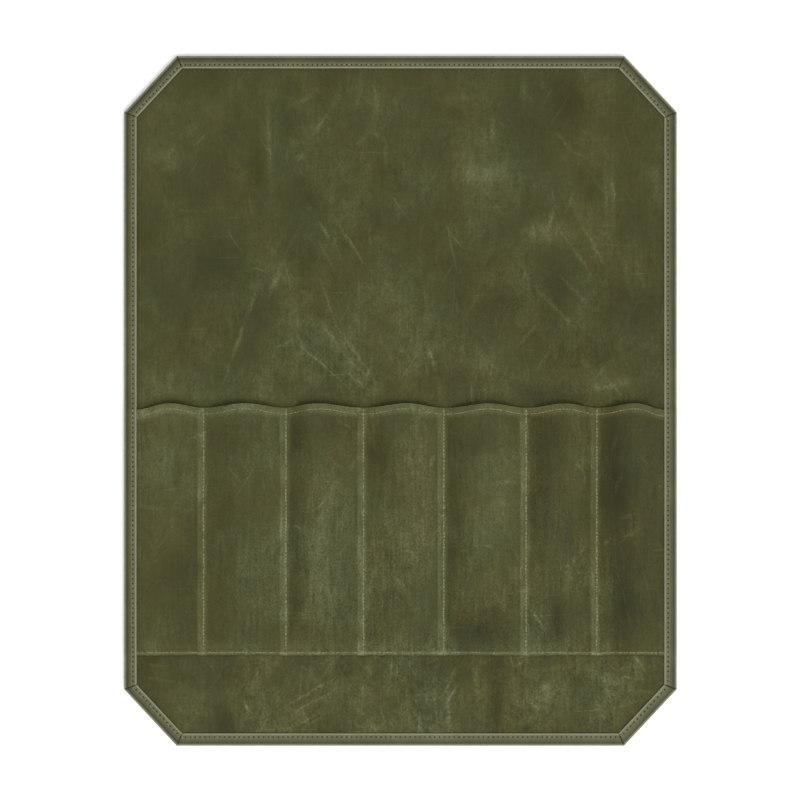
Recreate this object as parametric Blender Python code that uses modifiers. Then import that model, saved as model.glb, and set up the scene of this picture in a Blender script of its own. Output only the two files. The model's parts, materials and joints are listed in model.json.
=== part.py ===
"""Leather pencil roll, lying open and flat with its pockets up.

An outer leather and a lining are bound together all round, a pocket front is sewn to the
lower part by six rows of stitches, and the upper part folds down over the pencils as a flap.
The roll is wound up along the six rows. Leather bends there and nowhere else, so each layer
is one solid between two neighbouring bend lines.
Metres, +Z up, +X to the right, +Y towards the flap, origin under the middle of the roll.
"""
import math

import bmesh
import bpy

# Outline: a rectangle with cut corners.
WIDTH = 0.3052
HEIGHT = 0.3810
CORNER_X = 0.0289
CORNER_Y = 0.0310

# Bend lines: six pocket seams that the roll turns on, and one line that the flap folds on.
SEAMS_X = (-0.1087, -0.0632, -0.0204, 0.0239, 0.0694, 0.1084)
FOLD_Y = 0.0529
ROLL_AXIS_Z = 0.0143
FOLD_AXIS_Z = 0.0070
ROOT_COLUMN = 4

# Leathers.
OUTER_THICKNESS = 0.0012
LINING_THICKNESS = 0.0009
POCKET_THICKNESS = 0.0008
BINDING_THICKNESS = 0.0008
BINDING_WIDTH = 0.0068
BINDING_BEVEL = 0.0007
GAP = 0.0003

# Heights of the layers, from the binding's lower lip upwards.
OUTER_Z = BINDING_THICKNESS + GAP
LINING_Z = OUTER_Z + OUTER_THICKNESS + GAP
POCKET_Z = LINING_Z + LINING_THICKNESS + GAP
PANEL_LIP_TOP = POCKET_Z + POCKET_THICKNESS + GAP + BINDING_THICKNESS
FLAP_LIP_TOP = LINING_Z + LINING_THICKNESS + GAP + BINDING_THICKNESS
EDGE_INSET = BINDING_THICKNESS + GAP

# Pocket front: flat along its seams and its base, lifted between them to take the pencils.
POCKET_BASE_Y = -0.1406
MOUTH_PEAK_Y = -0.0008
MOUTH_VALLEY_Y = -0.0036
POCKET_LIFT = 0.0044
SEAM_FLANGE = 0.0020
SIDE_FLANGE = BINDING_WIDTH + 0.0015
BASE_FLANGE = 0.0040
SIDE_RISE = 0.0110
BASE_RISE = 0.0180
RISE_STEPS = 3

COLLECTION_NAME = "pencil_roll"
COLUMNS = len(SEAMS_X) + 1
LEATHERS = {
    "outer_leather": ((0.074, 0.076, 0.032), 0.52),
    "lining_leather": ((0.078, 0.080, 0.033), 0.55),
    "pocket_leather": ((0.084, 0.086, 0.036), 0.52),
    "binding_leather": ((0.096, 0.098, 0.044), 0.48),
}


def clear_scene():
    for old_object in list(bpy.data.objects):
        bpy.data.objects.remove(old_object, do_unlink=True)


def make_collection():
    collection = bpy.data.collections.new(COLLECTION_NAME)
    bpy.context.scene.collection.children.link(collection)
    return collection


def leather_material(name):
    colour, roughness = LEATHERS[name]
    material = bpy.data.materials.new(name)
    material.use_nodes = True
    shader = material.node_tree.nodes["Principled BSDF"]
    shader.inputs["Base Color"].default_value = (*colour, 1.0)
    shader.inputs["Roughness"].default_value = roughness
    shader.inputs["Metallic"].default_value = 0.0
    return material


def column_span(column):
    """Left and right bend lines of a column, or the roll's own side."""
    left = -WIDTH / 2 if column == 1 else SEAMS_X[column - 2]
    right = WIDTH / 2 if column == COLUMNS else SEAMS_X[column - 1]
    return left, right


def column_edges(column, inset):
    """Left and right edges of a piece in a column: inset at the roll's sides, half a gap at a seam."""
    left, right = column_span(column)
    left += inset if column == 1 else GAP / 2
    right -= inset if column == COLUMNS else GAP / 2
    return left, right


def corner_point(side_x, side_y, inset, on_side):
    """End of a cut corner on the line inset from the outline, on the side or on the top or bottom."""
    cut = math.hypot(CORNER_X, CORNER_Y)
    if on_side:
        drop = CORNER_Y + inset * (cut - CORNER_Y) / CORNER_X
        return side_x * (WIDTH / 2 - inset), side_y * (HEIGHT / 2 - drop)
    shift = CORNER_X + inset * (cut - CORNER_X) / CORNER_Y
    return side_x * (WIDTH / 2 - shift), side_y * (HEIGHT / 2 - inset)


def cell_outline(column, side_y, inset):
    """Flat outline of one column of a full-width leather, below (-1) or above (+1) the fold."""
    left, right = column_edges(column, inset)
    fold_edge = FOLD_Y + side_y * GAP / 2
    end_edge = side_y * (HEIGHT / 2 - inset)
    points = [(left, fold_edge), (right, fold_edge)]
    if column == COLUMNS:
        points.append(corner_point(1, side_y, inset, on_side=True))
        points.append(corner_point(1, side_y, inset, on_side=False))
    else:
        points.append((right, end_edge))
    if column == 1:
        points.append(corner_point(-1, side_y, inset, on_side=False))
        points.append(corner_point(-1, side_y, inset, on_side=True))
    else:
        points.append((left, end_edge))
    return points


class Roll:
    """The collection, the materials and the axes that the pieces hang on."""

    def __init__(self):
        self.collection = make_collection()
        self.materials = {name: leather_material(name) for name in LEATHERS}
        self.axes = {}

    def add_axis(self, body, place, parent_body):
        axis = bpy.data.objects.new("axis_of_" + body, None)
        axis.empty_display_size = 0.01
        self.collection.objects.link(axis)
        self.hang(axis, place, parent_body)
        self.axes[body] = (axis, place)

    def hang(self, item, place, body):
        """Puts an object at a place in the roll's frame, under a body's axis if it has one."""
        if body in self.axes:
            axis, axis_place = self.axes[body]
            item.parent = axis
            item.location = [here - there for here, there in zip(place, axis_place)]
        else:
            item.location = place

    def add_piece(self, name, data, place, body, leather):
        piece = bpy.data.objects.new(name, data)
        data.materials.append(self.materials[leather])
        self.collection.objects.link(piece)
        self.hang(piece, place, body)
        return piece


def flat_leather(roll, name, outline, bottom, thickness, body, leather):
    curve = bpy.data.curves.new(name, "CURVE")
    curve.dimensions = "2D"
    curve.fill_mode = "BOTH"
    curve.extrude = thickness / 2
    spline = curve.splines.new("POLY")
    spline.points.add(len(outline) - 1)
    for point, (x, y) in zip(spline.points, outline):
        point.co = (x, y, 0.0, 1.0)
    spline.use_cyclic_u = True
    roll.add_piece(name, curve, (0.0, 0.0, bottom + thickness / 2), body, leather)


def binding_section(lip_top):
    """C-shaped section of the binding, as pairs of inset from the edge and height."""
    inner = BINDING_THICKNESS
    bevel = BINDING_BEVEL
    return [
        (BINDING_WIDTH, 0.0),
        (bevel, 0.0),
        (0.0, bevel),
        (0.0, lip_top - bevel),
        (bevel, lip_top),
        (BINDING_WIDTH, lip_top),
        (BINDING_WIDTH, lip_top - inner),
        (inner, lip_top - inner),
        (inner, inner),
        (BINDING_WIDTH, inner),
    ]


def loft(near, far):
    """Closed solid between two sections whose points match one to one."""
    shape = bmesh.new()
    near_ring = [shape.verts.new(point) for point in near]
    far_ring = [shape.verts.new(point) for point in far]
    shape.faces.new(near_ring)
    shape.faces.new(far_ring)
    for i in range(len(near_ring)):
        shape.faces.new((near_ring[i - 1], near_ring[i], far_ring[i], far_ring[i - 1]))
    bmesh.ops.recalc_face_normals(shape, faces=shape.faces)
    return shape


def binding_strip(roll, name, lip_top, start, end, body):
    """Sweeps the section from one end to the other; start and end give x, y for an inset."""
    section = binding_section(lip_top)
    near = [(*start(inset), z) for inset, z in section]
    far = [(*end(inset), z) for inset, z in section]
    mesh = bpy.data.meshes.new(name)
    shape = loft(near, far)
    shape.to_mesh(mesh)
    shape.free()
    roll.add_piece(name, mesh, (0.0, 0.0, 0.0), body, "binding_leather")


def end_binding(roll, name, column, side_y, lip_top, body):
    """Binding of one column along the bottom (-1) or the top (+1) edge."""
    left, right = column_span(column)

    def start(inset):
        if column == 1:
            x, y = corner_point(-1, side_y, inset, on_side=False)
            return x + GAP / 2, y
        return left + GAP / 2, side_y * (HEIGHT / 2 - inset)

    def end(inset):
        if column == COLUMNS:
            x, y = corner_point(1, side_y, inset, on_side=False)
            return x - GAP / 2, y
        return right - GAP / 2, side_y * (HEIGHT / 2 - inset)

    binding_strip(roll, name, lip_top, start, end, body)


def side_binding(roll, name, side_x, side_y, lip_top, body):
    """Binding of a side, from the fold line to the cut corner."""

    def start(inset):
        return side_x * (WIDTH / 2 - inset), FOLD_Y + side_y * GAP / 2

    def end(inset):
        x, y = corner_point(side_x, side_y, inset, on_side=True)
        return x, y - side_y * GAP / 2

    binding_strip(roll, name, lip_top, start, end, body)


def corner_binding(roll, name, side_x, side_y, lip_top, body):
    """Binding of a cut corner, mitred to its two neighbours."""
    cut = math.hypot(CORNER_X, CORNER_Y)
    along_x = -side_x * CORNER_X / cut * GAP / 2
    along_y = side_y * CORNER_Y / cut * GAP / 2

    def start(inset):
        x, y = corner_point(side_x, side_y, inset, on_side=True)
        return x + along_x, y + along_y

    def end(inset):
        x, y = corner_point(side_x, side_y, inset, on_side=False)
        return x - along_x, y - along_y

    binding_strip(roll, name, lip_top, start, end, body)


def ease(fraction):
    fraction = min(max(fraction, 0.0), 1.0)
    return fraction * fraction * (3.0 - 2.0 * fraction)


def pocket_front(roll, name, column, body):
    left, right = column_edges(column, EDGE_INSET)
    left_flange = SIDE_FLANGE - EDGE_INSET if column == 1 else SEAM_FLANGE
    right_flange = SIDE_FLANGE - EDGE_INSET if column == COLUMNS else SEAM_FLANGE
    low_x = left + left_flange
    high_x = right - right_flange
    rises = [SIDE_RISE * step / RISE_STEPS for step in range(RISE_STEPS + 1)]
    columns_x = [left] + [low_x + rise for rise in rises]
    columns_x += [high_x - rise for rise in reversed(rises)] + [right]
    low_y = POCKET_BASE_Y + BASE_FLANGE
    rows = [POCKET_BASE_Y] + [low_y + BASE_RISE * step / RISE_STEPS for step in range(RISE_STEPS + 1)]
    rows.append(MOUTH_VALLEY_Y)

    def mouth(x):
        across = math.sin(math.pi * (x - left) / (right - left))
        return MOUTH_VALLEY_Y + (MOUTH_PEAK_Y - MOUTH_VALLEY_Y) * across ** 2

    def height(x, y):
        inside = min(x - low_x, high_x - x) / SIDE_RISE
        return POCKET_Z + POCKET_THICKNESS / 2 + POCKET_LIFT * ease(inside) * ease((y - low_y) / BASE_RISE)

    mesh = bpy.data.meshes.new(name)
    shape = bmesh.new()
    bmesh.ops.create_grid(shape, x_segments=len(columns_x) - 1, y_segments=len(rows) - 1, size=0.5)
    for vertex in shape.verts:
        x = columns_x[round((vertex.co.x + 0.5) * (len(columns_x) - 1))]
        row = round((vertex.co.y + 0.5) * (len(rows) - 1))
        y = mouth(x) if row == len(rows) - 1 else rows[row]
        vertex.co = (x, y, height(x, y))
    shape.to_mesh(mesh)
    shape.free()
    piece = roll.add_piece(name, mesh, (0.0, 0.0, 0.0), body, "pocket_leather")
    solidify = piece.modifiers.new("thickness", "SOLIDIFY")
    solidify.thickness = POCKET_THICKNESS
    solidify.offset = 0.0
    solidify.use_even_offset = True


def add_axes(roll):
    """Roll axes chain outwards from the middle column, and each flap folds on its own column."""
    for column in range(ROOT_COLUMN - 1, 0, -1):
        place = (SEAMS_X[column - 1], 0.0, ROLL_AXIS_Z)
        roll.add_axis("panel_%d" % column, place, "panel_%d" % (column + 1))
    for column in range(ROOT_COLUMN + 1, COLUMNS + 1):
        place = (SEAMS_X[column - 2], 0.0, ROLL_AXIS_Z)
        roll.add_axis("panel_%d" % column, place, "panel_%d" % (column - 1))
    for column in range(1, COLUMNS + 1):
        place = (sum(column_span(column)) / 2, FOLD_Y, FOLD_AXIS_Z)
        roll.add_axis("flap_%d" % column, place, "panel_%d" % column)


def add_column(roll, column):
    """Every full-height layer of one column, its pocket front and its two end bindings."""
    parts = (("panel", "bottom", -1, PANEL_LIP_TOP), ("flap", "top", 1, FLAP_LIP_TOP))
    for kind, end_name, side_y, lip_top in parts:
        body = "%s_%d" % (kind, column)
        outline = cell_outline(column, side_y, EDGE_INSET)
        flat_leather(roll, "outer_%s" % body, outline, OUTER_Z, OUTER_THICKNESS, body, "outer_leather")
        flat_leather(roll, "lining_%s" % body, outline, LINING_Z, LINING_THICKNESS, body, "lining_leather")
        end_binding(roll, "binding_%s_%d" % (end_name, column), column, side_y, lip_top, body)
    pocket_front(roll, "pocket_front_%d" % column, column, "panel_%d" % column)


def add_side_bindings(roll):
    sides = (("left", -1, 1), ("right", 1, COLUMNS))
    ends = (("lower", "bottom", -1, "panel_%d", PANEL_LIP_TOP), ("upper", "top", 1, "flap_%d", FLAP_LIP_TOP))
    for side_name, side_x, column in sides:
        for half, end_name, side_y, body_name, lip_top in ends:
            body = body_name % column
            side_binding(roll, "binding_%s_%s" % (side_name, half), side_x, side_y, lip_top, body)
            corner_binding(
                roll, "binding_corner_%s_%s" % (end_name, side_name), side_x, side_y, lip_top, body
            )


def main():
    clear_scene()
    roll = Roll()
    add_axes(roll)
    for column in range(1, COLUMNS + 1):
        add_column(roll, column)
    add_side_bindings(roll)


main()
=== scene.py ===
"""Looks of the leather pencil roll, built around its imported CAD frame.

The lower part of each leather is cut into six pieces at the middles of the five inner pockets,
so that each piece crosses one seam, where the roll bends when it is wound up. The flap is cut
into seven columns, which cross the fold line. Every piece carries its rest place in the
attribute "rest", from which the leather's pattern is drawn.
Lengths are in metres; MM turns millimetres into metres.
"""

import json
import math

import bmesh
import bpy
import numpy as np
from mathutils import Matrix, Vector, noise


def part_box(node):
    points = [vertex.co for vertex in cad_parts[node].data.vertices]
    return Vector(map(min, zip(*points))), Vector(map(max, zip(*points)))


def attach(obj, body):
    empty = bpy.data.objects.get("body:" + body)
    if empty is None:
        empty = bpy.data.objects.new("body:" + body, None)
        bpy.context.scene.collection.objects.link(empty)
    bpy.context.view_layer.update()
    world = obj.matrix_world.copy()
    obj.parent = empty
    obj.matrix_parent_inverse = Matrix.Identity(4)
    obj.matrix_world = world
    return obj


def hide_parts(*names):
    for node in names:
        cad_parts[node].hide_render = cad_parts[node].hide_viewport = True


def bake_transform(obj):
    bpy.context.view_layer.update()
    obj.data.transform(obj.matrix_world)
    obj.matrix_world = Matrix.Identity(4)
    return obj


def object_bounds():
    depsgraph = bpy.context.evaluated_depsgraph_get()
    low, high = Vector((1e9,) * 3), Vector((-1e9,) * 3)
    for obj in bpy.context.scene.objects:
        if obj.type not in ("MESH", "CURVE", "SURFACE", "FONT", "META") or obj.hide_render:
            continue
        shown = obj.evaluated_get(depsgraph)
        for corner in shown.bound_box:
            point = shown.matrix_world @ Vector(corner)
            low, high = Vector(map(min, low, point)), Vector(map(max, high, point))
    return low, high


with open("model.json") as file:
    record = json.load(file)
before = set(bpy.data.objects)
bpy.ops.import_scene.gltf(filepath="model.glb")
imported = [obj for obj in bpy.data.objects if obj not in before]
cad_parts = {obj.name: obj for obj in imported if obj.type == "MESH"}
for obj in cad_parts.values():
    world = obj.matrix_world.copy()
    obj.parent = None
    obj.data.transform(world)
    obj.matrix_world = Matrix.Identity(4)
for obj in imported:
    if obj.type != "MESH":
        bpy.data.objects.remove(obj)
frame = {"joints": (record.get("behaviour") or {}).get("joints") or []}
CAD_LOW, CAD_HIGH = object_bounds()

MM = 0.001

# ---- sizes taken from the frame
JOINTS = {joint["name"]: joint for joint in frame["joints"]}
COLUMNS = 7
SEAMS = [JOINTS["roll_%d" % seam]["pos_m"][0] for seam in range(1, COLUMNS)]
ROLL_Z = JOINTS["roll_3"]["pos_m"][2]
FOLD_Y, FOLD_Z = JOINTS["fold_4"]["pos_m"][1:]
HALF_W = (CAD_HIGH.x - CAD_LOW.x) / 2
HALF_H = (CAD_HIGH.y - CAD_LOW.y) / 2
CORNER_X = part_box("binding_bottom_1")[0].x - CAD_LOW.x
CORNER_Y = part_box("binding_left_lower")[0].y - CAD_LOW.y
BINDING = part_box("binding_bottom_4")[1].y - CAD_LOW.y
PANEL_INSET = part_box("outer_panel_1")[0].x - CAD_LOW.x
OUTER_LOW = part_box("outer_panel_4")[0].z
LINING_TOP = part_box("lining_panel_4")[1].z
POCKET_BASE, MOUTH_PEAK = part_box("pocket_front_4")[0].y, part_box("pocket_front_4")[1].y
FLAP_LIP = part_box("binding_top_4")[1].z
PANEL_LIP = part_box("binding_bottom_4")[1].z

# ---- sizes of the visible detail
# Half the width of the strip that bends at a joint, and half the angle a seam turns when rolled.
BEND_HALF = 6.0 * MM
ROLL_HALF = math.radians(25.0)
# Where the flap's pieces begin, just short of the bend.
SPLIT_Y = FOLD_Y - BEND_HALF - 0.4 * MM
# How far a hidden strip stays inside what it closes.
HIDDEN = 0.05 * MM
MOUTH_DIP = 2.0 * MM
SIDE_DIP = 3.0 * MM
HEM_DEPTH = 3.0 * MM
HEM_WIDTH = 3.8 * MM
LEATHER = 0.9 * MM
LINING_LEVEL = LINING_TOP - 0.15 * MM
LINING_UNDERSIDE = LINING_TOP - 1.05 * MM
OUTER_TOP = LINING_TOP - 1.15 * MM
# How much the pocket front swells along its base and at its hem, and the width of its round rim.
RIDGE_SWELL = 0.55 * MM
HEM_SWELL = 0.40 * MM
RIM_WIDTH = 0.8 * MM
STITCH_INSET = 4.9 * MM
BINDING_PITCH = 2.7 * MM
BINDING_STITCH = 0.68 * BINDING_PITCH
THREAD_WIDTH = 0.5 * MM
THREAD_HEIGHT = 0.4 * MM
SEAM_PITCH = 2.0 * MM
SEAM_STITCH = 1.04 * SEAM_PITCH
BASE_ROW = 1.7 * MM
COLUMN_EDGES = [-HALF_W] + SEAMS + [HALF_W]
MIDDLES = [(left + right) / 2 for left, right in zip(COLUMN_EDGES, COLUMN_EDGES[1:])]
# The ends of the six lower pieces of each leather, each of which crosses one seam.
LOWER_ENDS = [-HALF_W] + MIDDLES[1:-1] + [HALF_W]
# How the peak of each pocket's mouth leans: below 1 to the left, above 1 to the right.
MOUTH_LEANS = (1.0, 1.03, 0.8, 1.08, 1.15, 1.15, 1.2)


def clamp(value, low=0.0, high=1.0):
    return min(max(value, low), high)


def ease(fraction):
    fraction = clamp(fraction)
    return fraction * fraction * (3 - 2 * fraction)


def bell(distance, width):
    return math.exp(-((distance / width) ** 2))


def wave(x, y, length, seed):
    """Smooth noise from about -1 to 1 with bumps of a given length."""
    return noise.noise(Vector((x / length, y / length, seed)))


# ---- spans across the roll
def span(ends, number, inset):
    """Left and right end of a numbered piece, kept at least inset inside the roll's sides."""
    return max(ends[number - 1], -HALF_W + inset), min(ends[number], HALF_W - inset)


def lower_span(seam, inset):
    """Left and right end of the piece over a seam, between the middles of two columns."""
    return span(LOWER_ENDS, seam, inset)


def column_span(column, inset):
    return span(COLUMN_EDGES, column, inset)


# ---- heights of the leathers
def column_of(x):
    for column in range(1, COLUMNS):
        if x < COLUMN_EDGES[column]:
            return column
    return COLUMNS


def pocket_sides(column):
    """Where a pocket front is held down: at its two seams, or at the side bindings."""
    return column_span(column, BINDING)


def mouth(x):
    """The pockets' wavy upper edge: high in the middle of a pocket, low at its seams."""
    column = column_of(x)
    left, right = pocket_sides(column)
    share = clamp((x - left) / (right - left))
    at_side = (column == 1 and share < 0.5) or (column == COLUMNS and share > 0.5)
    dip = SIDE_DIP if at_side else MOUTH_DIP
    arch = math.sin(math.pi * share ** MOUTH_LEANS[column - 1]) ** 2
    rise = 0.45 * MM + 0.3 * MM * wave(x, 0.0, 21 * MM, 3.1)
    return MOUTH_PEAK - dip * (1 - arch) + rise * arch


def hem_row(x):
    """The line of the hem's stitches, a little further from the mouth where the mouth is low."""
    height = mouth(x)
    return height - HEM_DEPTH - 0.25 * clamp(MOUTH_PEAK - height, 0.0, MOUTH_DIP)


def base(x):
    """The pockets' lower edge, which wanders a little."""
    return POCKET_BASE + 0.3 * MM * wave(x, 0.0, 34 * MM, 7.7)


def lining_top(x, y):
    rolling = 0.11 * MM * wave(x, y, 44 * MM, 1.3) + 0.05 * MM * wave(x, y, 13 * MM, 5.2)
    return LINING_LEVEL + rolling


def lining_bottom(x, y):
    return LINING_UNDERSIDE


def outer_top(x, y):
    return OUTER_TOP


def outer_bottom(x, y):
    rolling = 0.08 * MM * wave(x, y, 48 * MM, 21.0) + 0.04 * MM * wave(x, y, 12 * MM, 25.0)
    return OUTER_LOW + rolling * ease(abs(x - nearest_seam(x)) / (12 * MM))


def pocket_hem(x, y):
    """1 on the folded hem under the mouth, 0 below it."""
    return ease((HEM_WIDTH - (mouth(x) - y)) / (1.2 * MM))


def base_ridge(x, y):
    return RIDGE_SWELL * bell(y - base(x) - 1.3 * MM, 1.3 * MM)


def at_rim(x, y):
    """1 on the rim of the mouth, 0 a little below it."""
    return 1 - ease((mouth(x) - y) / RIM_WIDTH)


def on_seam_band(from_seam):
    """1 on the folded leather beside a divider's stitches, 0 elsewhere."""
    return ease((from_seam + 3.7 * MM) / (0.7 * MM)) * ease((0.6 * MM - from_seam) / (0.5 * MM))


def pocket_top(x, y):
    left, right = pocket_sides(column_of(x))
    aside = clamp(min(x - left, right - x), 0.0)
    depth = clamp((y - base(x)) / (mouth(x) - base(x)))
    lift = 0.1 * MM + 1.0 * MM * ease(depth / 0.16) + 2.6 * MM * depth ** 6
    dome = ease(aside / (13.0 * MM))
    slack = 0.30 * MM * wave(x, y, 26 * MM, 9.4) * ease(aside / (7 * MM)) * ease(depth / 0.1)
    edge = 0.45 * MM * (1 - ease((y - base(x)) / (0.7 * MM)))
    rim = 0.45 * MM * at_rim(x, y)
    hem = HEM_SWELL * pocket_hem(x, y)
    pressed = 0.22 * MM * on_seam_band(x - nearest_seam(x))
    level = LINING_TOP + LEATHER + lift * dome + slack
    return level + base_ridge(x, y) - edge - rim + hem + pressed


def pocket_bottom(x, y):
    rim = 0.18 * MM * at_rim(x, y)
    thickness = LEATHER - 0.2 * MM + base_ridge(x, y) + HEM_SWELL * pocket_hem(x, y) - rim
    return max(pocket_top(x, y) - thickness, lining_top(x, y) + 0.02 * MM)


def nearest_seam(x):
    return min(SEAMS, key=lambda seam: abs(seam - x))


def lip_top(y):
    """Height of the binding's upper lip, which steps up where it covers the pocket front."""
    over_pocket = ease((MOUTH_PEAK - y) / (4 * MM)) * ease((y - POCKET_BASE + 2 * MM) / (4 * MM))
    return FLAP_LIP + (PANEL_LIP - FLAP_LIP) * 0.85 * over_pocket


# ---- tones painted on the mesh
# Rubbed and stained places of the hide: x, y, half width, half height in mm, and strength. Positive is
# rubbed pale, negative is dark with wax. The last five patches lie just above the pockets' mouths; they
# are painted shade and painted light that deepen and lighten the shadow there.
LINING_PATCHES = (
    (-120, 90, 28, 60, -0.12), (-105, 160, 10, 8, 0.36), (-125, 133, 10, 5, 0.30),
    (-72, 143, 5, 28, 0.30), (-79, 129, 6, 14, -0.32), (-60, 155, 8, 8, -0.22),
    (-50, 112, 10, 8, -0.30), (-95, 70, 14, 16, -0.28), (-52, 80, 8, 8, -0.25),
    (-10, 165, 18, 14, 0.15), (-15, 60, 30, 20, 0.18), (-5, 35, 22, 16, 0.26), (-55, 30, 20, 20, 0.18),
    (-125, 13, 26, 7, 0.28), (31, 167, 8, 5, 0.45), (42, 125, 17, 6, 0.44), (53, 126, 6, 4, 0.25),
    (46, 118, 22, 12, 0.15), (93, 165, 10, 14, -0.40), (80, 93, 9, 7, 0.55), (116, 112, 2.5, 26, 0.32),
    (105, 110, 22, 28, 0.20), (104, 116, 6, 8, -0.35), (88, 60, 12, 14, -0.22), (60, 55, 10, 10, -0.20),
    (125, 50, 16, 14, -0.20), (5, 14, 10, 12, 0.30), (45, 22, 22, 12, 0.28), (100, 27, 14, 9, -0.30),
    (115, 10, 26, 7, 0.32), (0, -163, 160, 22, 0.22), (-115, -160, 8, 12, 0.25),
    (-97, -179, 6, 9, -0.45), (-96, -150, 8, 12, -0.28), (-33, -149, 6, 6, -0.28),
    (-20, -164, 7, 16, 0.22), (27, -165, 4, 18, 0.28), (42, -155, 5, 14, 0.22),
    (53, -162, 4, 26, -0.60), (86, -160, 10, 8, 0.40), (97, -154, 5, 6, -0.40),
    (-142, -148, 6, 12, -0.30), (14, -151, 36, 13, -0.28), (-127, 4, 18, 4, 0.42),
    (-86, 3, 20, 4, 0.20), (2, 2, 18, 4, 0.20), (83, 3, 16, 5, -0.42), (128, 3, 12, 4, -0.14),
)
# Paler and darker places of the pocket fronts, laid out the same way: positive is paler, negative is
# darker. Many of the darkest lie just to the right of a seam.
POCKET_PATCHES = (
    (-132, -35, 14, 30, 0.30), (-117, -95, 9, 45, -0.28), (-138, -110, 8, 30, 0.10),
    (-101, -65, 9, 60, -0.22), (-88, -20, 18, 10, -0.20), (-70, -60, 8, 70, 0.16),
    (-57, -22, 7, 14, -0.62), (-58, -75, 5, 34, -0.50), (-58, -113, 5, 14, -0.40),
    (-33, -15, 12, 9, -0.30), (-40, -60, 14, 46, 0.31), (-44, -101, 12, 14, 0.25),
    (-12, -30, 7, 16, -0.45), (10, -60, 12, 50, 0.35), (-12, -125, 8, 14, -0.25),
    (29, -70, 6, 60, -0.50), (46, -128, 18, 11, -0.65), (53, -60, 14, 40, 0.50),
    (40, -24, 14, 10, -0.35), (80, -20, 9, 16, -0.55), (76, -55, 8, 24, -0.55),
    (86, -122, 4, 14, -0.60), (95, -40, 9, 20, 0.22), (88, -75, 18, 60, -0.12), (92, -98, 12, 16, 0.18),
    (117, -38, 9, 34, -0.80), (122, -110, 7, 36, -0.55), (127, -70, 22, 80, -0.25),
    (128, -72, 8, 9, 0.30), (-127, -7, 17, 6, 0.24), (-127, -76, 18, 12, 0.20),
)


def patches(x, y, spots):
    tone = 0.0
    for centre_x, centre_y, half_x, half_y, strength in spots:
        away_x = (x / MM - centre_x) / half_x
        away_y = (y / MM - centre_y) / half_y
        tone += strength * math.exp(-(away_x ** 2) - away_y ** 2)
    return tone


def lining_tone(x, y):
    # Painted shadow: the lining is darkened in a band just above the pockets' mouths, where the raised
    # lip casts its shade.
    painted_mouth_shadow = -0.22 * bell(y - mouth(x) - 1.2 * MM, 2.0 * MM)
    return patches(x, y, LINING_PATCHES) + painted_mouth_shadow - 0.04


def pocket_tone(x, y):
    from_seam = x - nearest_seam(x)
    below_mouth = mouth(x) - y
    above_base = y - base(x)
    seam_band = on_seam_band(from_seam) * (0.58 + 0.3 * wave(x, y, 11 * MM, 6.1))
    # Beside a seam: the band just right of the stitches is partly rubbed leather and partly painted
    # light. The broad band further right is painted light. Both lift the shade on the pocket's slope
    # there.
    seam_band += 0.5 * bell(from_seam - 0.9 * MM, 1.0 * MM)
    seam_band += 0.13 * bell(from_seam - 6.5 * MM, 4.5 * MM)
    hem_band = 0.56 + 0.2 * wave(x, y, 9 * MM, 2.7)
    hem_band *= ease((HEM_WIDTH + 2.8 * MM - below_mouth) / (2.6 * MM))
    band = max(seam_band, hem_band)
    # Painted highlight along the rounded rim of the mouth.
    rim = 0.35 * bell(below_mouth, 0.5 * MM)
    ridge = 0.75 * bell(above_base - 1.4 * MM, 1.1 * MM)
    ridge += 0.25 * bell(above_base - 4 * MM, 3.5 * MM)
    return patches(x, y, POCKET_PATCHES) + band + rim + ridge


def outer_tone(x, y):
    return 0.25 * wave(x, y, 60 * MM, 31.0)


# ---- meshes
def stations(start, end, step, marks=()):
    """Rising values from start to end, at most step apart, that include the marks between them."""
    fixed = sorted({start, end} | {mark for mark in marks if start < mark < end})
    values = [fixed[0]]
    for low, high in zip(fixed, fixed[1:]):
        count = max(1, math.ceil((high - low) / step - 1e-6))
        values += [low + (high - low) * part / count for part in range(1, count)] + [high]
    return values


# The leathers' grids have stations at these distances from a seam.
SEAM_STEPS = [step * MM for step in (0.0, 0.3, 0.6, 1.0, 1.6, 2.1, 2.5, 2.9, 3.3, 3.8, 4.6, 5.6, 7.0)]
SEAM_MARKS = [seam + side * step for seam in SEAMS for side in (-1, 1) for step in SEAM_STEPS]


def flat_grid(across, along, place=None):
    """A flat grid of quads; place turns a pair of stations into x, y."""
    shape = bmesh.new()
    spot = place or (lambda u, v: (u, v))
    rows = [[shape.verts.new((*spot(u, v), 0.0)) for u in across] for v in along]
    for lower, upper in zip(rows, rows[1:]):
        for i in range(len(across) - 1):
            shape.faces.new((lower[i], lower[i + 1], upper[i + 1], upper[i]))
    return shape


def cut_corners(shape, inset):
    """Trims a flat grid to the cut corners of the outline, moved inwards by inset."""
    length = math.hypot(CORNER_X, CORNER_Y)
    for side_x in (-1, 1):
        for side_y in (-1, 1):
            outward = Vector((side_x * CORNER_Y / length, side_y * CORNER_X / length, 0.0))
            corner = Vector((side_x * HALF_W, side_y * (HALF_H - CORNER_Y), 0.0)) - outward * inset
            geometry = shape.verts[:] + shape.edges[:] + shape.faces[:]
            bmesh.ops.bisect_plane(
                shape, geom=geometry, plane_co=corner, plane_no=outward, clear_outer=True
            )


def add_object(name, data):
    thing = bpy.data.objects.new(name, data)
    bpy.context.scene.collection.objects.link(thing)
    return thing


def paint(mesh, name, values):
    """Stores a number or a vector for each point of the mesh, for its material to read."""
    values = np.array(values, np.float32)
    kind, field = ("FLOAT", "value") if values.ndim == 1 else ("FLOAT_VECTOR", "vector")
    mesh.attributes.new(name, kind, "POINT").data.foreach_set(field, values.ravel())


def new_piece(name, points, faces, material, tone=None, crease=40.0):
    mesh = bpy.data.meshes.new(name)
    mesh.from_pydata(points, [], faces)
    mesh.polygons.foreach_set("use_smooth", [True] * len(mesh.polygons))
    mesh.set_sharp_from_angle(angle=math.radians(crease))
    paint(mesh, "rest", points)
    if tone is not None:
        paint(mesh, "tone", tone)
    mesh.materials.append(material)
    return add_object(name, mesh)


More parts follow.
